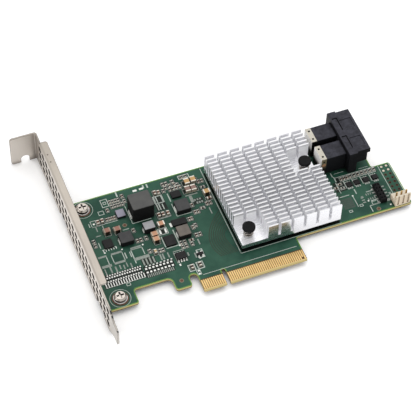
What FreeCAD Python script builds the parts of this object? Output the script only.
import FreeCAD, Part
import math
import os
from FreeCAD import Vector

os.makedirs("parts", exist_ok=True)

# Frame: X runs along the card away from the bracket, from the middle of the key notch.
# Y runs up from the contact edge, and Z out of the component face. All sizes in mm.

# Board outline
BOARD_THICK = 1.57
BOARD_LEFT = -56.4
BOARD_LONG = 155.7
BOARD_TOP = 68.9
SHOULDER = 13.66
PORT_STEP_WIDE = 9.4
PORT_STEP = 40.1
BOARD_CORNER = 1.0
BAY_CORNER = 1.5
HOOK_CORNER = 2.5
BAY_EDGE = 12.27
SCREW_EAR_WIDE = 14.0
SCREW_EAR_LOW = 4.5
HOOK_WIDE = 7.8
HOOK_LOW = 4.9
HOOK_SLOT_WIDE = 4.05
HOOK_SLOT_TOP = 10.9
OVERSHOOT = 1.0

# Edge connector
CONTACT_PITCH = 1.0
CONTACT_WIDE = 0.7
CONTACT_LOW = 0.9
CONTACT_TOP = 6.1
CONTACT_SHORT_LOW = 2.1
CONTACT_THICK = 0.06
CONTACTS_BEFORE_KEY = 11
CONTACTS_AFTER_KEY = 38
KEY_PITCH = 3.0
KEY_WIDE = 1.9
KEY_DEEP = 8.8
TONGUE_MARGIN = 0.65
EDGE_BEVEL = 0.5
SHORT_FRONT = (17, 31, 48)
SHORT_BACK = (1,)

# Bracket sheet, its vents, its folded flange, tab and tongue
SHEET = 0.86
BRACKET_GAP = 2.21
BRACKET_LOW = -4.12
BRACKET_WIDE = 18.42
BRACKET_LONG = 120.05
BEND_INSIDE = 0.45
FLANGE_WIDE = 4.0
FLANGE_LOW = 10.2
FLANGE_SET = 7.2
FLANGE_CORNER = 1.2
TAB_REACH = 12.7
TAB_CORNER = 1.5
TAB_NOTCH_WIDE = 4.42
TAB_NOTCH_DEEP = 4.4
TAB_NOTCH_OFFSET = 5.7
TONGUE_TIP = -14.2
TONGUE_WIDE = 10.19
TONGUE_SET = 4.4
TONGUE_CORNER = 1.0
TAPER_CORNER = 0.5
TAPER_HIGH = -2.6
TAPER_LOW = -9.0
VENT_ACROSS = 3.4
VENT_PITCH = 4.95
VENT_FIRST = -1.4
VENT_MARGIN = 6.0
VENT_COLUMNS = 3
EAR_WIDE = 9.0
EAR_RELIEF = 0.6

# Bracket screws and washers
SCREW_INSET = 6.6
SCREW_LOW_INSET = 5.1
SCREW_TOP_INSET = 5.3
SCREW_R = 1.5
SCREW_HEAD_R = 3.0
SCREW_HEAD_HIGH = 2.0
SCREW_DOME = 0.8
SCREW_TIP_PROUD = 0.9
RECESS_LONG = 3.6
RECESS_WIDE = 0.9
RECESS_DEEP = 1.1
WASHER_R = 3.3
WASHER_THICK = 0.6
SCREW_CLEAR = 0.2
THREAD_CLEAR = 0.05

# Controller package under the heat sink
CONTROLLER_WIDE = 27.0
SUBSTRATE_HIGH = 1.2
LID_WIDE = 23.0
LID_HIGH = 1.0
LID_CORNER = 0.8
PAD_HIGH = 0.3
PAD_WIDE = 21.0

# Heat sink: a base with rows of fins, cut across into columns
SINK_LEFT = 12.1
SINK_FRONT = 14.5
SINK_WIDE = 50.0
SINK_BASE = 2.5
SINK_HIGH = 10.8
SINK_COLUMNS = 8
SINK_ROWS = 22
COLUMN_GAP = 1.43
FIN_THICK = 0.8
FRONT_POCKET = {"columns": (0, 2), "rows": (0, 5)}
REAR_POCKET = {"columns": (6, 8), "rows": (12, 17)}

# Push pins and their springs
PIN_INSET = 5.05
PIN_FRONT_INSET = 5.3
REAR_PIN_SETBACK = 6.04
PIN_SHAFT_R = 1.5
PIN_CLEAR = 0.15
PIN_HEAD_R = 3.1
PIN_HEAD_HIGH = 1.6
PIN_HEAD_BEVEL = 0.4
PIN_BARB_OVER = 0.5
PIN_BARB_LONG = 2.53
PIN_TIP_R = 0.8
PIN_BARB_CLEAR = 0.05
PIN_SPLIT = 0.7
SPRING_CLEAR = 0.3
SPRING_WIRE = 0.5
SPRING_HIGH = 4.9
SPRING_TURNS = 3.25
SPRING_STEPS = 8
SPRING_SIDES = 4

# Twin cable port: shell, rear covers, wafer blocks, slot inserts
PORT_PITCH = 11.9
PORT_INSET = 14.2
PORT_SETBACK = 1.0
PORT_HIGH = 13.5
PORT_SIDE_WALL = 1.95
PORT_MID_WALL = 1.3
PORT_ROOF = 1.2
PORT_FLOOR = 0.8
PORT_EDGE_R = 0.4
PORT_BAND = 0.8
PORT_NOSE = 5.5
PORT_BLOCK_DEEP = 4.2
HOOD_PROUD = 1.4
HOOD_TALL = 2.8
CAVITY_TALL = 6.2
CAVITY_DEEP = 8.2
LATCH_SLOT = 0.7
LATCH_SIDE = 1.2
LATCH_LEG = 2.4
LATCH_INSET = 1.1
LATCH_DEEP = 0.6
PANEL_DEEP = 0.3
PANEL_SHORT = 2.05
COVER_APART = 3.0
COVER_HIGH = 10.9
COVER_LONG = 10.3
COVER_EDGE = 0.2
WAFER_LONG = 2.7
WAFER_HOLE = 1.0
WAFER_HOLE_SPREAD = 2.55
WAFER_HOLE_DEEP = 2.0
INSERT_LONG = 3.7
INSERT_CLEAR = 0.1
SLOT_SIDE = 1.3
SLOT_HIGH = 1.3
SLOT_SPREAD = 1.45
SLOT_BACK = 0.6
PORT_CONTACT_MARGIN = 0.6
PORT_CONTACT_PITCH = 0.8
PORT_CONTACT_WIDE = 0.36
PORT_CONTACT_THICK = 0.2
PORT_CONTACT_LONG = 2.8
PEG_R = 0.8
PEG_CLEAR = 0.1
PEG_PROUD = 0.3
PEG_INSET = 1.3
TAIL_WIDE = 0.35
TAIL_LONG = 0.8
TAIL_INSET = 4.9

# Three-pin header with a locking wall, and the empty header holes
HEADER_PITCH = 2.54
HEADER_PINS = 3
HEADER_INSET = 4.9
HEADER_SETBACK = 0.24
HEADER_DEEP = 5.8
HEADER_PIN_SET = 2.6
HEADER_EDGE_R = 0.3
HEADER_BASE_HIGH = 3.2
HEADER_WALL_HIGH = 7.0
HEADER_WALL_THICK = 1.0
HEADER_FLUTE = 0.9
HEADER_FLUTE_DEEP = 0.4
HEADER_FLUTE_LOW = 1.0
GUSSET_THICK = 0.8
GUSSET_REACH = 1.0
SQUARE_PIN = 0.64
PIN_TIP_HIGH = 7.6
PIN_TAIL = 1.0
PIN_CHAMFER = 0.15
PIN_FIT = 0.05
PLATED_HOLE_R = 0.5
EMPTY_INSET = 4.75
EMPTY_DROP = 6.75
EMPTY_ROWS = 5
EMPTY_COLUMNS = 2
EMPTY_SIDES = 6

# Ten-way socket
SOCKET_INSET = 12.65
SOCKET_Y = 23.3
SOCKET_WIDE = 3.2
SOCKET_END = 0.2
SOCKET_HIGH = 3.0
SOCKET_WAYS = 5
SOCKET_PITCH = 2.0
SOCKET_HOLE = 0.8
SOCKET_HOLE_DEEP = 1.6
SOCKET_CHAMFER = 0.3

# Inductors as (x, y, along X, along Y, height, corner bevel)
MAIN_INDUCTOR = (-24.2, 53.1, 10.5, 9.6, 9.4, 0.5)
UPPER_INDUCTOR = (-5.0, 48.4, 6.7, 6.6, 3.0, 0.35)
MIDDLE_INDUCTOR = (-9.8, 34.0, 6.0, 6.1, 3.0, 0.35)
LEFT_INDUCTOR = (-36.4, 39.7, 6.3, 6.2, 3.0, 0.35)
BLOCK_INDUCTOR = (-24.2, 42.0, 5.15, 4.4, 3.6, 0.25)
CROWN_SHARE = 0.5
TERMINAL_THICK = 0.2
TERMINAL_SHARE = 0.5
TERMINAL_HIGH = 1.2

# Flat chips as (x, y, along X, along Y, height)
LEFT_REGULATOR = (-45.1, 40.4, 4.4, 5.0, 1.0)
UPPER_REGULATOR = (-5.2, 56.9, 4.7, 3.8, 1.0)
MIDDLE_REGULATOR = (-9.5, 40.9, 7.0, 3.6, 1.0)
LOWER_REGULATOR = (-17.3, 32.1, 5.0, 6.0, 1.0)
SUPPLY_MONITOR = (-33.8, 55.0, 4.0, 4.4, 1.3)
CHIP_BEVEL = 0.12

# Chips on gull-wing leads as (x, y, along X, along Y, height, leads a side, lead pitch)
MEMORY = (-15.6, 21.9, 4.9, 3.9, 1.5, 4, 1.27)
RESET = (-6.7, 20.1, 2.9, 1.6, 1.0, 2, 1.9)
DRIVER_INSETS = (24.0, 20.0, 15.2, 10.5)
DRIVER_Y = 33.65
DRIVER_WIDE = 2.9
DRIVER_DEEP = 2.6
DRIVER_HIGH = 1.0
DRIVER_LEADS = 3
DRIVER_PITCH = 0.95
LEAD_THICK = 0.2
LEAD_SHARE = 0.33
LEAD_REACH = 0.9
LEAD_SHOULDER = 0.2
LEAD_SLOPE = 0.15
STANDOFF = 0.15
FLAT_LEAD_UNDER = 0.4

# Chip capacitors and resistors as (length, width, height, end cap)
LARGE_CHIP = (3.2, 2.5, 1.9, 0.55)
SMALL_CHIP = (2.0, 1.25, 1.1, 0.4)
TINY_CHIP = (1.6, 0.8, 0.45)
CAP_PROUD = 0.03
LARGE_ALONG_X = (
    (9.1, 53.0), (-18.0, 42.3), (-22.9, 37.7), (-23.1, 34.6), (-43.2, 47.2), (-38.4, 46.5),
)
LARGE_ALONG_Y = ((2.3, 61.9), (5.5, 62.2), (1.1, 57.4), (4.0, 57.3))
SMALL_ALONG_X = ((9.1, 49.4),)
SMALL_ALONG_Y = (
    (-14.3, 61.2), (-12.6, 60.8), (-16.9, 48.0), (-14.9, 47.9), (-12.5, 47.8), (-25.8, 28.5),
    (-45.4, 53.8), (-43.3, 54.0), (-12.9, 14.4), (-8.9, 14.5),
)
RESISTOR_RUNS = (
    (-36.2, 63.6, 1.4, 4), (-36.0, 60.7, 1.3, 5), (-8.9, 64.9, 1.6, 2), (1.1, 66.1, 1.9, 2),
    (77.8, 38.5, 2.1, 7), (-4.0, 65.0, 0, 1), (-2.3, 62.5, 0, 1), (-8.3, 62.6, 0, 1),
    (-6.6, 60.9, 1.6, 2), (-29.4, 61.9, 0, 1), (-27.1, 37.7, 0, 1), (-50.9, 43.9, 0, 1),
    (-50.9, 41.4, 0, 1), (-8.0, 27.1, 0, 1), (-12.9, 29.3, 2.0, 2), (-12.7, 26.9, 1.8, 2),
    (-23.6, 28.5, 1.4, 2), (-28.1, 29.9, 0, 1), (-9.9, 61.2, 0, 1), (-2.8, 36.7, 0, 1),
)
RESISTORS_ALONG_X = ((8.7, 57.1), (4.2, 45.2), (71.6, 32.9))
CERAMIC_RUNS = (
    (-40.9, 54.1, 1.3, 4), (-6.0, 63.2, 2.4, 2), (7.9, 60.8, 1.7, 2), (-0.1, 44.0, 1.5, 2),
    (7.1, 46.9, 1.6, 2), (-31.4, 37.5, 1.6, 2), (73.0, 38.2, 1.6, 3), (-4.4, 31.2, 1.8, 2),
    (-3.5, 60.9, 1.9, 2), (0.0, 48.5, 0, 1), (-4.3, 41.1, 1.2, 2), (-4.2, 36.0, 0, 1),
    (-29.6, 65.1, 0, 1), (-38.8, 59.3, 0, 1), (-31.2, 43.9, 0, 1),
)
CERAMICS_ALONG_X = ((-7.6, 29.3), (71.1, 35.5), (68.7, 33.9))

# Values that follow from those above
SAME = 1e-6
BOARD_BACK = -BOARD_THICK
BOARD_RIGHT = BOARD_LEFT + BOARD_LONG
PORT_EDGE = BOARD_RIGHT - PORT_STEP_WIDE
TONGUE_LEFT = -KEY_PITCH / 2 - (CONTACTS_BEFORE_KEY - 1) * CONTACT_PITCH - TONGUE_MARGIN
TONGUE_RIGHT = KEY_PITCH / 2 + (CONTACTS_AFTER_KEY - 1) * CONTACT_PITCH + TONGUE_MARGIN
HOOK_RIGHT = TONGUE_LEFT - HOOK_SLOT_WIDE
HOOK_LEFT = HOOK_RIGHT - HOOK_WIDE
SCREW_EAR_RIGHT = BOARD_LEFT + SCREW_EAR_WIDE

SHEET_IN = BOARD_LEFT - BRACKET_GAP
SHEET_OUT = SHEET_IN - SHEET
BRACKET_TOP = TONGUE_TIP + BRACKET_LONG
BRACKET_HIGH = BRACKET_LOW + BRACKET_WIDE
FLANGE_HIGH = BRACKET_TOP - FLANGE_SET
BEND_OUTSIDE = BEND_INSIDE + SHEET
VENT_ROWS = 1 + math.floor((BRACKET_TOP - VENT_MARGIN - VENT_FIRST) / VENT_PITCH)
SCREW_X = BOARD_LEFT + SCREW_INSET
SCREW_Y = (SCREW_EAR_LOW + SCREW_LOW_INSET, BOARD_TOP - SCREW_TOP_INSET)

FIN_LONG = (SINK_WIDE - (SINK_COLUMNS - 1) * COLUMN_GAP) / SINK_COLUMNS
COLUMN_PITCH = FIN_LONG + COLUMN_GAP
ROW_PITCH = (SINK_WIDE - FIN_THICK) / (SINK_ROWS - 1)
SINK_LOW = SUBSTRATE_HIGH + LID_HIGH + PAD_HIGH
SINK_FLOOR = SINK_LOW + SINK_BASE
SINK_TOP = SINK_LOW + SINK_HIGH
SINK_RIGHT = SINK_LEFT + SINK_WIDE
SINK_REAR = SINK_FRONT + SINK_WIDE
REAR_POCKET_FRONT = SINK_FRONT + (REAR_POCKET["rows"][0] - 1) * ROW_PITCH + FIN_THICK
PUSH_PINS = (
    (SINK_LEFT + PIN_INSET, SINK_FRONT + PIN_FRONT_INSET),
    (SINK_RIGHT - PIN_INSET, REAR_POCKET_FRONT + REAR_PIN_SETBACK),
)
PIN_BARB_R = PIN_SHAFT_R + PIN_BARB_OVER
PIN_TIP_LOW = BOARD_BACK - PIN_BARB_LONG
SPRING_R = PIN_SHAFT_R + SPRING_CLEAR + SPRING_WIRE / 2
CONTROLLER_X = (PUSH_PINS[0][0] + PUSH_PINS[1][0]) / 2
CONTROLLER_Y = (PUSH_PINS[0][1] + PUSH_PINS[1][1]) / 2

PORT_HOOD_FRONT = PORT_EDGE - PORT_SETBACK
PORT_WALL_FRONT = PORT_HOOD_FRONT - HOOD_PROUD
PORT_BLOCK_FRONT = PORT_WALL_FRONT - PORT_NOSE
PORT_REAR = PORT_BLOCK_FRONT - PORT_BLOCK_DEEP
COVER_REAR = PORT_REAR - COVER_LONG
WAFER_REAR = COVER_REAR - WAFER_LONG
CAVITY_WIDE = PORT_PITCH - PORT_MID_WALL
COVER_WIDE = PORT_PITCH - COVER_APART
SLOT_WIDE = CAVITY_WIDE - 2 * SLOT_SIDE
PORT_CONTACTS = 1 + math.floor((SLOT_WIDE - 2 * PORT_CONTACT_MARGIN) / PORT_CONTACT_PITCH)
CAVITY_REAR = PORT_WALL_FRONT - CAVITY_DEEP
CAVITY_HIGH = PORT_HIGH - PORT_ROOF
CAVITY_LOW = CAVITY_HIGH - CAVITY_TALL
PORT_UNDER = CAVITY_LOW - PORT_FLOOR
PORT_HOOD_LOW = PORT_HIGH - HOOD_TALL
INSERT_FRONT = CAVITY_REAR + INSERT_LONG
LATCH_X = PORT_BLOCK_FRONT - LATCH_INSET
LATCH_LONG = CAVITY_WIDE - 2 * LATCH_SIDE
PORT_WIDE = PORT_PITCH + CAVITY_WIDE + 2 * PORT_SIDE_WALL
PORT_MIDDLE = BOARD_TOP - PORT_INSET
PORT_CENTRES = (PORT_MIDDLE - PORT_PITCH / 2, PORT_MIDDLE + PORT_PITCH / 2)
PORT_LOW_SIDE = PORT_MIDDLE - PORT_WIDE / 2
PORT_HIGH_SIDE = PORT_MIDDLE + PORT_WIDE / 2
PEG_X = (PORT_REAR + PORT_BLOCK_FRONT) / 2
PEGS = ((PEG_X, PORT_LOW_SIDE + PEG_INSET), (PEG_X, PORT_HIGH_SIDE - PEG_INSET))

HEADER_X = BOARD_RIGHT - HEADER_INSET
HEADER_WIDE = HEADER_PINS * HEADER_PITCH
HEADER_FRONT = SHOULDER + HEADER_SETBACK
HEADER_BACK = HEADER_FRONT + HEADER_DEEP
HEADER_PIN_Y = HEADER_FRONT + HEADER_PIN_SET
HEADER_PIN_X = tuple(
    HEADER_X + (index - (HEADER_PINS - 1) / 2) * HEADER_PITCH for index in range(HEADER_PINS)
)
EMPTY_X = tuple(BOARD_RIGHT - EMPTY_INSET + index * HEADER_PITCH for index in range(EMPTY_COLUMNS))
EMPTY_Y = tuple(PORT_STEP - EMPTY_DROP - row * HEADER_PITCH for row in range(EMPTY_ROWS))
SOCKET_X = BOARD_RIGHT - SOCKET_INSET
SOCKET_LONG = SOCKET_WAYS * SOCKET_PITCH + 2 * SOCKET_END
DRIVER_X = tuple(BOARD_RIGHT - inset for inset in DRIVER_INSETS)


def flat(z):
    """Place outline points in a level plane at height z."""
    return lambda a, b: Vector(a, b, z)


def facing_x(x):
    """Place outline points (y, z) in the upright plane at x."""
    return lambda a, b: Vector(x, a, b)


def facing_y(y):
    """Place outline points (x, z) in the upright plane at y."""
    return lambda a, b: Vector(a, y, b)


def outline(corners, place):
    """Closed wire through corners (a, b, radius), each rounded by its radius."""
    joints = []
    for index, (a, b, radius) in enumerate(corners):
        here = place(a, b)
        before = corners[index - 1]
        after = corners[(index + 1) % len(corners)]
        to_before = (place(before[0], before[1]) - here).normalize()
        to_after = (place(after[0], after[1]) - here).normalize()
        half = to_before.getAngle(to_after) / 2
        tangent = radius / math.tan(half)
        inward = (to_before + to_after).normalize()
        crest = here + inward * (radius / math.sin(half) - radius)
        joints.append((here + to_before * tangent, crest, here + to_after * tangent))
    edges = []
    for index, (start, crest, end) in enumerate(joints):
        last = joints[index - 1][2]
        if (start - last).Length > SAME:
            edges.append(Part.makeLine(last, start))
        if (end - start).Length > SAME:
            edges.append(Part.Arc(start, crest, end).toShape())
    return Part.Wire(edges)


def prism(corners, place, along):
    """Solid swept straight from a rounded outline."""
    return Part.Face(outline(corners, place)).extrude(along)


def box(x_span, y_span, z_span):
    """Box between the two ends of each span."""
    size = [span[1] - span[0] for span in (x_span, y_span, z_span)]
    return Part.makeBox(*size, Vector(x_span[0], y_span[0], z_span[0]))


def block(x, y, wide, deep, low, high):
    """Upright box centred on (x, y)."""
    return box((x - wide / 2, x + wide / 2), (y - deep / 2, y + deep / 2), (low, high))


def bevelled_block(x, y, wide, deep, low, high, bevel):
    """Upright block with bevelled vertical edges and a bevelled top."""
    body = block(x, y, wide, deep, low, high)
    uprights = [edge for edge in body.Edges if edge.BoundBox.ZLength > SAME]
    return crowned(body.makeChamfer(bevel, uprights), bevel * CROWN_SHARE)


def crowned(shape, size):
    """Bevel every edge of the top face."""
    top = shape.BoundBox.ZMax
    edges = [edge for edge in shape.Edges if abs(edge.BoundBox.ZMin - top) < SAME]
    return shape.makeChamfer(size, edges)


def turned(x, y, profile):
    """Solid turned about an upright axis at (x, y) from corners (radius, height)."""
    points = [Vector(x + radius, y, z) for radius, z in profile]
    face = Part.Face(Part.makePolygon(points + points[:1]))
    return face.revolve(Vector(x, y, 0), Vector(0, 0, 1), 360)


def round_hole(x, y, radius, low, high):
    """Upright cylinder for a hole or a peg."""
    return Part.makeCylinder(radius, high - low, Vector(x, y, low))


def through_board(x, y, radius):
    """Cutter for a round hole through the board."""
    return round_hole(x, y, radius, BOARD_BACK - OVERSHOOT, OVERSHOOT)


def ring_of_corners(a, b, radius, sides):
    """Sharp corners of a regular outline about (a, b)."""
    turns = [2 * math.pi * corner / sides for corner in range(sides)]
    return [(a + radius * math.cos(turn), b + radius * math.sin(turn), 0) for turn in turns]


def empty_hole(x, y):
    """Cutter for one plated hole of the empty header, with few sides because it repeats."""
    corners = ring_of_corners(x, y, PLATED_HOLE_R, EMPTY_SIDES)
    return prism(corners, flat(BOARD_BACK - OVERSHOOT), Vector(0, 0, BOARD_THICK + 2 * OVERSHOOT))


def export(node, shapes):
    """Write one node, a single solid or a group of them."""
    shape = shapes if isinstance(shapes, Part.Shape) else Part.makeCompound(shapes)
    shape.exportStep(f"parts/{node}.step")


# Board
def circuit_board():
    """Board with its contact tongue, key notch, hook, step and holes."""
    radius = BOARD_CORNER
    slot_radius = HOOK_SLOT_WIDE / 2
    key_radius = KEY_WIDE / 2
    corners = [
        (BOARD_LEFT, SCREW_EAR_LOW, radius),
        (SCREW_EAR_RIGHT, SCREW_EAR_LOW, radius),
        (SCREW_EAR_RIGHT, BAY_EDGE, BAY_CORNER),
        (HOOK_LEFT, BAY_EDGE, HOOK_CORNER),
        (HOOK_LEFT, HOOK_LOW, BAY_CORNER),
        (HOOK_RIGHT, HOOK_LOW, radius),
        (HOOK_RIGHT, HOOK_SLOT_TOP, slot_radius),
        (TONGUE_LEFT, HOOK_SLOT_TOP, slot_radius),
        (TONGUE_LEFT, 0, EDGE_BEVEL),
        (-KEY_WIDE / 2, 0, EDGE_BEVEL / 2),
        (-KEY_WIDE / 2, KEY_DEEP, key_radius),
        (KEY_WIDE / 2, KEY_DEEP, key_radius),
        (KEY_WIDE / 2, 0, EDGE_BEVEL / 2),
        (TONGUE_RIGHT, 0, EDGE_BEVEL),
        (TONGUE_RIGHT, SHOULDER, radius),
        (BOARD_RIGHT, SHOULDER, radius),
        (BOARD_RIGHT, PORT_STEP, radius),
        (PORT_EDGE, PORT_STEP, radius),
        (PORT_EDGE, BOARD_TOP, radius),
        (BOARD_LEFT, BOARD_TOP, radius),
    ]
    board = prism(corners, flat(BOARD_BACK), Vector(0, 0, BOARD_THICK))
    cutters = [through_board(SCREW_X, y, SCREW_R + SCREW_CLEAR) for y in SCREW_Y]
    cutters += [through_board(x, y, PIN_SHAFT_R + PIN_CLEAR) for x, y in PUSH_PINS]
    cutters += [through_board(x, y, PEG_R + PEG_CLEAR) for x, y in PEGS]
    pin_hole = SQUARE_PIN + 2 * PIN_FIT
    for x in HEADER_PIN_X:
        cutters.append(block(x, HEADER_PIN_Y, pin_hole, pin_hole, BOARD_BACK - OVERSHOOT, OVERSHOOT))
    cutters += [empty_hole(x, y) for x in EMPTY_X for y in EMPTY_Y]
    for face_z, inner_z in ((0, -EDGE_BEVEL), (BOARD_BACK, BOARD_BACK + EDGE_BEVEL)):
        wedge = [(0, face_z, 0), (EDGE_BEVEL, face_z, 0), (0, inner_z, 0)]
        run = Vector(TONGUE_RIGHT - TONGUE_LEFT, 0, 0)
        cutters.append(prism(wedge, facing_x(TONGUE_LEFT), run))
    return board.cut(cutters)


def contact_x(number):
    """Place along the card of a contact, counted from the bracket end."""
    if number <= CONTACTS_BEFORE_KEY:
        return -KEY_PITCH / 2 - (CONTACTS_BEFORE_KEY - number) * CONTACT_PITCH
    return KEY_PITCH / 2 + (number - CONTACTS_BEFORE_KEY - 1) * CONTACT_PITCH


def edge_contacts(short, low, high):
    """Row of plated contacts on one face, with its shorter presence contacts."""
    contacts = []
    for number in range(1, CONTACTS_BEFORE_KEY + CONTACTS_AFTER_KEY + 1):
        x = contact_x(number)
        foot = CONTACT_SHORT_LOW if number in short else CONTACT_LOW
        sides = (x - CONTACT_WIDE / 2, x + CONTACT_WIDE / 2)
        contacts.append(box(sides, (foot, CONTACT_TOP), (low, high)))
    return contacts


# Bracket
def hexagon(y, z):
    """Cutter for one six-sided vent through the bracket sheet."""
    corners = ring_of_corners(y, z, VENT_ACROSS / math.sqrt(3), 6)
    return prism(corners, facing_x(SHEET_OUT - OVERSHOOT), Vector(SHEET + 2 * OVERSHOOT, 0, 0))


def bracket_sheet():
    """Upright sheet with its vents, down to the tapered tongue."""
    fold = BRACKET_HIGH - BEND_OUTSIDE
    shelf = BOARD_BACK - SHEET + BEND_OUTSIDE
    tongue_low = BRACKET_LOW + TONGUE_SET
    tongue_high = tongue_low + TONGUE_WIDE
    corners = [
        (TONGUE_TIP, tongue_low, TONGUE_CORNER),
        (TAPER_LOW, tongue_low, TONGUE_CORNER),
        (TAPER_HIGH, BRACKET_LOW, TAPER_CORNER),
    ]
    for y in SCREW_Y:
        near = y - EAR_WIDE / 2 - EAR_RELIEF
        far = y + EAR_WIDE / 2 + EAR_RELIEF
        corners += [
            (near, BRACKET_LOW, 0), (near, shelf, 0), (far, shelf, 0), (far, BRACKET_LOW, 0),
        ]
    corners += [
        (BRACKET_TOP - BEND_OUTSIDE, BRACKET_LOW, 0),
        (BRACKET_TOP - BEND_OUTSIDE, BRACKET_HIGH, 0),
        (FLANGE_HIGH, BRACKET_HIGH, 0),
        (FLANGE_HIGH, fold, 0),
        (FLANGE_LOW, fold, 0),
        (FLANGE_LOW, BRACKET_HIGH, 0),
        (TAPER_HIGH, BRACKET_HIGH, TAPER_CORNER),
        (TAPER_LOW, tongue_high, TONGUE_CORNER),
        (TONGUE_TIP, tongue_high, TONGUE_CORNER),
    ]
    middle = tongue_low + TONGUE_WIDE / 2
    vents = []
    for column in range(VENT_COLUMNS):
        z = middle + (column - (VENT_COLUMNS - 1) / 2) * VENT_PITCH
        vents += [hexagon(VENT_FIRST + row * VENT_PITCH, z) for row in range(VENT_ROWS)]
    sheet = prism(corners, facing_x(SHEET_OUT), Vector(SHEET, 0, 0))
    return sheet.cut(Part.makeCompound(vents))


def bracket_flange():
    """Lip folded over the component side along the sheet's long edge."""
    fold = BRACKET_HIGH - BEND_OUTSIDE
    tip = SHEET_OUT + FLANGE_WIDE
    corners = [
        (SHEET_OUT, fold, 0),
        (SHEET_OUT, BRACKET_HIGH, BEND_OUTSIDE),
        (tip, BRACKET_HIGH, 0),
        (tip, BRACKET_HIGH - SHEET, 0),
        (SHEET_IN, BRACKET_HIGH - SHEET, BEND_INSIDE),
        (SHEET_IN, fold, 0),
    ]
    strip = prism(corners, facing_y(FLANGE_LOW), Vector(0, FLANGE_HIGH - FLANGE_LOW, 0))
    plan = [
        (SHEET_OUT, FLANGE_LOW, 0), (tip, FLANGE_LOW, FLANGE_CORNER),
        (tip, FLANGE_HIGH, FLANGE_CORNER), (SHEET_OUT, FLANGE_HIGH, 0),
    ]
    return strip.common(prism(plan, flat(fold), Vector(0, 0, BEND_OUTSIDE)))


def bracket_ear(y):
    """Ear folded under the board, with a tapped hole for its screw."""
    under = BOARD_BACK - SHEET
    fold = under + BEND_OUTSIDE
    tip = SCREW_X + EAR_WIDE / 2
    bend = [
        (SHEET_OUT, fold, 0),
        (SHEET_OUT, under, BEND_OUTSIDE),
        (tip, under, 0),
        (tip, BOARD_BACK, 0),
        (SHEET_IN, BOARD_BACK, BEND_INSIDE),
        (SHEET_IN, fold, 0),
    ]
    near, far = y - EAR_WIDE / 2, y + EAR_WIDE / 2
    strip = prism(bend, facing_y(near), Vector(0, EAR_WIDE, 0))
    end = EAR_WIDE / 2
    plan = [(SHEET_OUT, near, 0), (tip, near, end), (tip, far, end), (SHEET_OUT, far, 0)]
    ear = strip.common(prism(plan, flat(under), Vector(0, 0, BEND_OUTSIDE)))
    return ear.cut(round_hole(SCREW_X, y, SCREW_R + THREAD_CLEAR, under - OVERSHOOT, OVERSHOOT))


def bracket_tab():
    """Tab folded outwards at the top, notched for the chassis screw."""
    fold = BRACKET_TOP - BEND_OUTSIDE
    tip = SHEET_OUT - TAB_REACH
    bend = [
        (SHEET_IN, fold, 0),
        (SHEET_IN, BRACKET_TOP, BEND_OUTSIDE),
        (tip, BRACKET_TOP, 0),
        (tip, BRACKET_TOP - SHEET, 0),
        (SHEET_OUT, BRACKET_TOP - SHEET, BEND_INSIDE),
        (SHEET_OUT, fold, 0),
    ]
    strip = prism(bend, flat(BRACKET_LOW), Vector(0, 0, BRACKET_WIDE))
    notch = SHEET_OUT - TAB_NOTCH_OFFSET
    notch_high = BRACKET_LOW + TAB_NOTCH_DEEP
    half = TAB_NOTCH_WIDE / 2
    plan = [
        (SHEET_IN, BRACKET_LOW, 0),
        (notch + half, BRACKET_LOW, 0),
        (notch + half, notch_high, half),
        (notch - half, notch_high, half),
        (notch - half, BRACKET_LOW, 0),
        (tip, BRACKET_LOW, TAB_CORNER),
        (tip, BRACKET_HIGH, TAB_CORNER),
        (SHEET_IN, BRACKET_HIGH, 0),
    ]
    return strip.common(prism(plan, facing_y(fold), Vector(0, BEND_OUTSIDE, 0)))


def bracket():
    """Bracket folded from one sheet."""
    pieces = [bracket_flange(), bracket_tab()] + [bracket_ear(y) for y in SCREW_Y]
    return bracket_sheet().fuse(pieces).removeSplitter()


# Fasteners
def bracket_screw(y):
    """Pan-head screw with a cross recess, through washer and board into the bracket ear."""
    seat = WASHER_THICK
    top = seat + SCREW_HEAD_HIGH
    tip = BOARD_BACK - SHEET - SCREW_TIP_PROUD
    profile = [
        (0, tip), (SCREW_R, tip), (SCREW_R, seat), (SCREW_HEAD_R, seat),
        (SCREW_HEAD_R, top - SCREW_DOME), (SCREW_HEAD_R - SCREW_DOME, top), (0, top),
    ]
    floor = top - RECESS_DEEP
    cross = [
        block(SCREW_X, y, RECESS_LONG, RECESS_WIDE, floor, top + OVERSHOOT),
        block(SCREW_X, y, RECESS_WIDE, RECESS_LONG, floor, top + OVERSHOOT),
    ]
    return turned(SCREW_X, y, profile).cut(cross)


def screw_washer(y):
    """Plain washer between a screw head and the board."""
    disc = round_hole(SCREW_X, y, WASHER_R, 0, WASHER_THICK)
    return disc.cut(round_hole(SCREW_X, y, SCREW_R + SCREW_CLEAR, 0, WASHER_THICK))


# Heat sink, controller and push pins
def column_start(column):
    """Left side of a fin column."""
    return SINK_LEFT + column * COLUMN_PITCH


def row_start(row):
    """Front side of a fin row."""
    return SINK_FRONT + row * ROW_PITCH


def pocket(columns, rows):
    """Cutter that takes a patch of fins off the base."""
    x_span = (column_start(columns[0]) - COLUMN_GAP, column_start(columns[1]))
    y_span = (row_start(rows[0]) - ROW_PITCH + FIN_THICK, row_start(rows[1]))
    return box(x_span, y_span, (SINK_FLOOR, SINK_TOP + OVERSHOOT))


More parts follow.
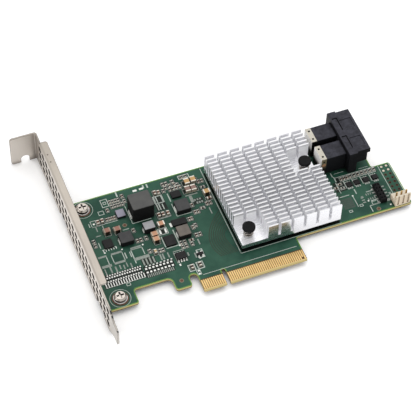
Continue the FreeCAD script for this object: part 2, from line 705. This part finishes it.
def heat_sink():
    """Cross-cut heat sink with two pockets for the push pins."""
    sink = box((SINK_LEFT, SINK_RIGHT), (SINK_FRONT, SINK_REAR), (SINK_LOW, SINK_TOP))
    above = (SINK_FLOOR, SINK_TOP + OVERSHOOT)
    full_x = (SINK_LEFT - OVERSHOOT, SINK_RIGHT + OVERSHOOT)
    full_y = (SINK_FRONT - OVERSHOOT, SINK_REAR + OVERSHOOT)
    channels = []
    for row in range(SINK_ROWS - 1):
        channels.append(box(full_x, (row_start(row) + FIN_THICK, row_start(row + 1)), above))
    sink = sink.cut(Part.makeCompound(channels))
    gaps = []
    for column in range(SINK_COLUMNS - 1):
        gaps.append(box((column_start(column) + FIN_LONG, column_start(column + 1)), full_y, above))
    sink = sink.cut(Part.makeCompound(gaps))
    openings = [pocket(**FRONT_POCKET), pocket(**REAR_POCKET)]
    hole_radius = PIN_SHAFT_R + PIN_CLEAR
    openings += [round_hole(x, y, hole_radius, SINK_LOW, SINK_FLOOR) for x, y in PUSH_PINS]
    return sink.cut(openings)


def controller_lid():
    """Metal lid with cut corners on the controller's substrate."""
    top = SUBSTRATE_HIGH + LID_HIGH
    return bevelled_block(
        CONTROLLER_X, CONTROLLER_Y, LID_WIDE, LID_WIDE, SUBSTRATE_HIGH, top, LID_CORNER
    )


def push_pin(x, y):
    """Plastic pin with a flat head, and a split barb that grips under the board."""
    under_head = SINK_FLOOR + SPRING_HIGH
    top = under_head + PIN_HEAD_HIGH
    barb = BOARD_BACK - PIN_BARB_CLEAR
    profile = [
        (0, PIN_TIP_LOW), (PIN_TIP_R, PIN_TIP_LOW), (PIN_BARB_R, barb), (PIN_SHAFT_R, barb),
        (PIN_SHAFT_R, under_head), (PIN_HEAD_R, under_head), (PIN_HEAD_R, top - PIN_HEAD_BEVEL),
        (PIN_HEAD_R - PIN_HEAD_BEVEL, top), (0, top),
    ]
    split = block(x, y, PIN_SPLIT, 4 * PIN_BARB_R, PIN_TIP_LOW - OVERSHOOT, SINK_LOW)
    return turned(x, y, profile).cut(split)


def push_pin_spring(x, y):
    """Coil spring between the heat sink's base and a pin's head."""
    wire = SPRING_WIRE / 2
    rise = SPRING_HIGH - SPRING_WIRE
    steps = round(SPRING_TURNS * SPRING_STEPS)
    section = Part.makePolygon([
        Vector(SPRING_R + wire * math.cos(a), 0, wire * math.sin(a))
        for a in [2 * math.pi * corner / SPRING_SIDES for corner in range(SPRING_SIDES + 1)]
    ])
    sections = []
    for step in range(steps + 1):
        ring = section.copy()
        ring.rotate(Vector(0, 0, 0), Vector(0, 0, 1), 360 * step / SPRING_STEPS)
        ring.translate(Vector(x, y, SINK_FLOOR + wire + rise * step / steps))
        sections.append(ring)
    return Part.makeLoft(sections, True, True)


# Twin cable port
def port_shell():
    """Moulded shell of both ports, with hoods, latch slots, cavities and board pegs."""
    sides = (PORT_LOW_SIDE, PORT_HIGH_SIDE)
    profile = [
        (PORT_REAR, 0, 0),
        (PORT_BLOCK_FRONT, 0, 0),
        (PORT_BLOCK_FRONT, PORT_UNDER, 0),
        (PORT_WALL_FRONT, PORT_UNDER, 0),
        (PORT_WALL_FRONT, PORT_HOOD_LOW, 0),
        (PORT_HOOD_FRONT, PORT_HOOD_LOW, 0),
        (PORT_HOOD_FRONT, PORT_HIGH, PORT_EDGE_R),
        (PORT_REAR, PORT_HIGH, PORT_EDGE_R),
    ]
    shell = prism(profile, facing_y(sides[0]), Vector(0, PORT_WIDE, 0))
    collar = [
        (PORT_REAR, 0, 0), (PORT_BLOCK_FRONT, 0, 0), (PORT_BLOCK_FRONT, PORT_HIGH, 0),
        (PORT_REAR, PORT_HIGH, PORT_EDGE_R),
    ]
    band = prism(collar, facing_y(sides[0] - PORT_BAND), Vector(0, PORT_WIDE + 2 * PORT_BAND, 0))
    pegs = [round_hole(x, y, PEG_R, BOARD_BACK - PEG_PROUD, OVERSHOOT) for x, y in PEGS]
    cutters = []
    for y in PORT_CENTRES:
        cutters.append(box(
            (CAVITY_REAR, PORT_HOOD_FRONT + OVERSHOOT),
            (y - CAVITY_WIDE / 2, y + CAVITY_WIDE / 2),
            (CAVITY_LOW, CAVITY_HIGH),
        ))
        roof = (PORT_HIGH - LATCH_DEEP, PORT_HIGH + OVERSHOOT)
        cutters.append(block(LATCH_X, y, LATCH_SLOT, LATCH_LONG, *roof))
        leg_y = y + LATCH_LONG / 2 - LATCH_SLOT / 2
        leg = (LATCH_X - LATCH_LEG, LATCH_X)
        cutters.append(box(leg, (leg_y - LATCH_SLOT / 2, leg_y + LATCH_SLOT / 2), roof))
        panel_x = (LATCH_X + LATCH_SLOT, PORT_WALL_FRONT)
        panel_y = (y - LATCH_LONG / 2, y + LATCH_LONG / 2 - PANEL_SHORT)
        cutters.append(box(panel_x, panel_y, (PORT_HIGH - PANEL_DEEP, PORT_HIGH + OVERSHOOT)))
    return shell.fuse([band] + pegs).cut(cutters).removeSplitter()


def port_cover(y):
    """Black cover over the rear of one port's wafers."""
    middle = (COVER_REAR + PORT_REAR) / 2
    return crowned(block(middle, y, PORT_REAR - COVER_REAR, COVER_WIDE, 0, COVER_HIGH), COVER_EDGE)


def wafer_block(y):
    """Pale block that holds one port's contact wafers at the rear."""
    middle = (WAFER_REAR + COVER_REAR) / 2
    body = block(middle, y, COVER_REAR - WAFER_REAR, COVER_WIDE, 0, COVER_HIGH)
    holes = []
    for side in (-1, 1):
        hole_y = y + side * WAFER_HOLE_SPREAD
        low = COVER_HIGH - WAFER_HOLE_DEEP
        holes.append(block(middle, hole_y, WAFER_HOLE, WAFER_HOLE, low, COVER_HIGH + OVERSHOOT))
    return body.cut(holes)


def slot_heights():
    """Middle heights of the two card slots in a port."""
    middle = (CAVITY_LOW + CAVITY_HIGH) / 2
    return (middle - SLOT_SPREAD, middle + SLOT_SPREAD)


def port_insert(y):
    """Insert at the back of a cavity, with two slots for the plug's cards."""
    body = box(
        (CAVITY_REAR, INSERT_FRONT),
        (y - CAVITY_WIDE / 2 + INSERT_CLEAR, y + CAVITY_WIDE / 2 - INSERT_CLEAR),
        (CAVITY_LOW, CAVITY_HIGH - INSERT_CLEAR),
    )
    slots = []
    for z in slot_heights():
        slots.append(box(
            (CAVITY_REAR + SLOT_BACK, INSERT_FRONT + OVERSHOOT),
            (y - SLOT_WIDE / 2, y + SLOT_WIDE / 2),
            (z - SLOT_HIGH / 2, z + SLOT_HIGH / 2),
        ))
    return body.cut(slots)


def port_contacts(y):
    """Contacts along the floor and roof of both card slots of a port."""
    contacts = []
    run = (INSERT_FRONT - PORT_CONTACT_LONG, INSERT_FRONT)
    for z in slot_heights():
        floor, roof = z - SLOT_HIGH / 2, z + SLOT_HIGH / 2
        for low, high in ((floor, floor + PORT_CONTACT_THICK), (roof - PORT_CONTACT_THICK, roof)):
            for index in range(PORT_CONTACTS):
                middle = y + (index - (PORT_CONTACTS - 1) / 2) * PORT_CONTACT_PITCH
                sides = (middle - PORT_CONTACT_WIDE / 2, middle + PORT_CONTACT_WIDE / 2)
                contacts.append(box(run, sides, (low, high)))
    return contacts


def port_tails():
    """Contact tails of both ports where they come out under the board."""
    tails = []
    x = COVER_REAR + TAIL_INSET
    for y in PORT_CENTRES:
        for index in range(PORT_CONTACTS):
            middle = y + (index - (PORT_CONTACTS - 1) / 2) * PORT_CONTACT_PITCH
            tails.append(block(x, middle, TAIL_WIDE, TAIL_WIDE, BOARD_BACK - TAIL_LONG, BOARD_BACK))
    return tails


# Header and socket
def header_body():
    """Pin header's moulding: a base, a fluted locking wall and gussets at its ends."""
    left = HEADER_X - HEADER_WIDE / 2
    wall_back = HEADER_FRONT + HEADER_WALL_THICK
    profile = [
        (HEADER_FRONT, 0, 0),
        (HEADER_BACK, 0, 0),
        (HEADER_BACK, HEADER_BASE_HIGH, HEADER_EDGE_R),
        (wall_back, HEADER_BASE_HIGH, 0),
        (wall_back, HEADER_WALL_HIGH, HEADER_EDGE_R),
        (HEADER_FRONT, HEADER_WALL_HIGH, HEADER_EDGE_R),
    ]
    body = prism(profile, facing_x(left), Vector(HEADER_WIDE, 0, 0))
    gusset = [
        (wall_back, HEADER_BASE_HIGH, 0),
        (wall_back + GUSSET_REACH, HEADER_BASE_HIGH, 0),
        (wall_back, HEADER_WALL_HIGH - GUSSET_REACH, 0),
    ]
    thick = Vector(GUSSET_THICK, 0, 0)
    ends = [left, left + HEADER_WIDE - GUSSET_THICK]
    body = body.fuse([prism(gusset, facing_x(end), thick) for end in ends])
    flute_high = HEADER_WALL_HIGH + OVERSHOOT
    cutters = []
    for x in HEADER_PIN_X:
        cutters.append(
            block(x, HEADER_FRONT, HEADER_FLUTE, 2 * HEADER_FLUTE_DEEP, HEADER_FLUTE_LOW, flute_high)
        )
        cutters.append(block(x, HEADER_PIN_Y, SQUARE_PIN, SQUARE_PIN, -OVERSHOOT, flute_high))
    return body.cut(cutters).removeSplitter()


def header_pin(x):
    """Square post with pointed ends, through the header's base and the board."""
    low = BOARD_BACK - PIN_TAIL
    post = block(x, HEADER_PIN_Y, SQUARE_PIN, SQUARE_PIN, low, PIN_TIP_HIGH)
    ends = [edge for edge in post.Edges if edge.BoundBox.ZLength < SAME]
    return post.makeChamfer(PIN_CHAMFER, ends)


def socket_ways():
    """Places of the socket's ways along its length."""
    return [SOCKET_Y + (way - (SOCKET_WAYS - 1) / 2) * SOCKET_PITCH for way in range(SOCKET_WAYS)]


def socket_body():
    """Ten-way socket with two rows of square holes."""
    body = crowned(
        block(SOCKET_X, SOCKET_Y, SOCKET_WIDE, SOCKET_LONG, STANDOFF, SOCKET_HIGH), SOCKET_CHAMFER
    )
    floor = SOCKET_HIGH - SOCKET_HOLE_DEEP
    holes = []
    for y in socket_ways():
        for side in (-1, 1):
            x = SOCKET_X + side * SOCKET_WIDE / 4
            holes.append(block(x, y, SOCKET_HOLE, SOCKET_HOLE, floor, SOCKET_HIGH + OVERSHOOT))
    return body.cut(holes)


# Chips and inductors
def lead_starts(count, pitch):
    """Near sides of a row of leads, measured from the row's middle."""
    wide = pitch * LEAD_SHARE
    return [(index - (count - 1) / 2) * pitch - wide / 2 for index in range(count)]


def gull_leads(x, y, deep, high, count, pitch):
    """Bent leads on the front and back of a chip body."""
    exit_low = high / 2
    near = deep / 2
    knee = near + LEAD_SHOULDER
    heel = knee + LEAD_SLOPE
    tip = near + LEAD_REACH
    thick = LEAD_THICK
    profile = [
        (near, exit_low, 0), (knee, exit_low, 0), (heel, 0, 0), (tip, 0, 0), (tip, thick, 0),
        (heel + thick, thick, 0), (knee + thick, exit_low + thick, 0), (near, exit_low + thick, 0),
    ]
    leads = []
    for start in lead_starts(count, pitch):
        lead = prism(profile, facing_x(start), Vector(pitch * LEAD_SHARE, 0, 0))
        for turn in (0, 180):
            copy = lead.copy()
            copy.rotate(Vector(0, 0, 0), Vector(0, 0, 1), turn)
            copy.translate(Vector(x, y, 0))
            leads.append(copy)
    return leads


def flat_leads(x, y, across, count, pitch, along_y):
    """Flat feet under two opposite sides of a body that is across wide between them."""
    wide = pitch * LEAD_SHARE
    leads = []
    for start in lead_starts(count, pitch):
        for side in (-1, 1):
            ends = sorted((side * (across / 2 - FLAT_LEAD_UNDER), side * (across / 2 + LEAD_REACH)))
            run, span = (x + ends[0], x + ends[1]), (y + start, y + start + wide)
            if not along_y:
                run, span = (x + start, x + start + wide), (y + ends[0], y + ends[1])
            leads.append(box(run, span, (0, STANDOFF)))
    return leads


def leaded_chip(x, y, wide, deep, high):
    """Chip body raised on its leads."""
    return crowned(block(x, y, wide, deep, STANDOFF, high), CHIP_BEVEL)


def flat_chip(x, y, wide, deep, high):
    """Leadless chip that lies on the board."""
    return crowned(block(x, y, wide, deep, 0, high), CHIP_BEVEL)


def inductor(x, y, wide, deep, high, bevel):
    """Moulded inductor with bevelled uprights and crown."""
    return bevelled_block(x, y, wide, deep, 0, high, bevel)


def inductor_terminals(x, y, wide, deep, high, bevel):
    """Two flat terminals that stand against an inductor's ends."""
    half = deep * TERMINAL_SHARE / 2
    top = min(TERMINAL_HIGH, high / 2)
    terminals = []
    for side in (-1, 1):
        middle = x + side * (wide + TERMINAL_THICK) / 2
        terminals.append(block(middle, y, TERMINAL_THICK, 2 * half, 0, top))
    return terminals


def chip_part(x, y, size, along_y):
    """Body and two end caps of a chip part on the board."""
    length, width, height, cap = size
    body_long = length - 2 * cap
    body_wide = width - 2 * CAP_PROUD
    low, high = CAP_PROUD, height - CAP_PROUD
    shift = (length - cap) / 2
    if along_y:
        body = block(x, y, body_wide, body_long, low, high)
        caps = [block(x, y + side * shift, width, cap, 0, height) for side in (-1, 1)]
    else:
        body = block(x, y, body_long, body_wide, low, high)
        caps = [block(x + side * shift, y, cap, width, 0, height) for side in (-1, 1)]
    return body, caps


def chip_group(size, along_x, along_y):
    """Bodies and end caps of every chip part of one size."""
    bodies = []
    caps = []
    for places, turned_y in ((along_x, False), (along_y, True)):
        for x, y in places:
            body, ends = chip_part(x, y, size, turned_y)
            bodies.append(body)
            caps += ends
    return bodies, caps


def tiny_chips(runs, along_x):
    """Smallest chips in runs (first x, y, step along X, count), and those that lie along X."""
    length, width, height = TINY_CHIP
    chips = [block(x, y, length, width, 0, height) for x, y in along_x]
    for x, y, step, count in runs:
        chips += [block(x + step * index, y, width, length, 0, height) for index in range(count)]
    return chips


def export_chips(node, bodies_and_caps):
    """Write a group of chip parts as their bodies and their end caps."""
    bodies, caps = bodies_and_caps
    export(node, bodies)
    export(f"{node}_ends", caps)


# Nodes
export("circuit_board", circuit_board())
export("edge_contacts_front", edge_contacts(SHORT_FRONT, 0, CONTACT_THICK))
export("edge_contacts_back", edge_contacts(SHORT_BACK, BOARD_BACK - CONTACT_THICK, BOARD_BACK))

export("bracket", bracket())
export("bracket_screws", [bracket_screw(y) for y in SCREW_Y])
export("screw_washers", [screw_washer(y) for y in SCREW_Y])

export("controller_substrate", block(
    CONTROLLER_X, CONTROLLER_Y, CONTROLLER_WIDE, CONTROLLER_WIDE, 0, SUBSTRATE_HIGH
))
export("controller_lid", controller_lid())
export("thermal_pad", block(
    CONTROLLER_X, CONTROLLER_Y, PAD_WIDE, PAD_WIDE, SUBSTRATE_HIGH + LID_HIGH, SINK_LOW
))
export("heat_sink", heat_sink())
export("push_pins", [push_pin(x, y) for x, y in PUSH_PINS])
export("push_pin_springs", [push_pin_spring(x, y) for x, y in PUSH_PINS])

export("port_shell", port_shell())
for place, centre in zip(("lower", "upper"), PORT_CENTRES):
    export(f"port_cover_{place}", port_cover(centre))
    export(f"port_wafers_{place}", wafer_block(centre))
    export(f"port_insert_{place}", port_insert(centre))
    export(f"port_contacts_{place}", port_contacts(centre))
export("port_tails", port_tails())

export("pin_header", header_body())
export("pin_header_pins", [header_pin(x) for x in HEADER_PIN_X])
export("socket", socket_body())
export("socket_leads", flat_leads(
    SOCKET_X, SOCKET_Y, SOCKET_WIDE, SOCKET_WAYS, SOCKET_PITCH, along_y=True
))

INDUCTORS = {
    "main_inductor": MAIN_INDUCTOR,
    "upper_inductor": UPPER_INDUCTOR,
    "middle_inductor": MIDDLE_INDUCTOR,
    "left_inductor": LEFT_INDUCTOR,
    "block_inductor": BLOCK_INDUCTOR,
}
terminals = []
for name, form in INDUCTORS.items():
    export(name, inductor(*form))
    terminals += inductor_terminals(*form)
export("inductor_terminals", terminals)

FLAT_CHIPS = {
    "left_regulator": LEFT_REGULATOR,
    "upper_regulator": UPPER_REGULATOR,
    "middle_regulator": MIDDLE_REGULATOR,
    "lower_regulator": LOWER_REGULATOR,
    "supply_monitor": SUPPLY_MONITOR,
}
for name, form in FLAT_CHIPS.items():
    export(name, flat_chip(*form))

for name, form in (("memory_chip", MEMORY), ("reset_chip", RESET)):
    x, y, wide, deep, high, count, pitch = form
    export(name, leaded_chip(x, y, wide, deep, high))
    export(f"{name}_leads", gull_leads(x, y, deep, high, count, pitch))

driver_leads = []
for x in DRIVER_X:
    driver_leads += flat_leads(x, DRIVER_Y, DRIVER_DEEP, DRIVER_LEADS, DRIVER_PITCH, along_y=False)
export("line_drivers", [
    leaded_chip(x, DRIVER_Y, DRIVER_WIDE, DRIVER_DEEP, DRIVER_HIGH) for x in DRIVER_X
])
export("line_driver_leads", driver_leads)

export_chips("large_capacitors", chip_group(LARGE_CHIP, LARGE_ALONG_X, LARGE_ALONG_Y))
export_chips("small_capacitors", chip_group(SMALL_CHIP, SMALL_ALONG_X, SMALL_ALONG_Y))
export("tiny_capacitors", tiny_chips(CERAMIC_RUNS, CERAMICS_ALONG_X))
export("tiny_resistors", tiny_chips(RESISTOR_RUNS, RESISTORS_ALONG_X))
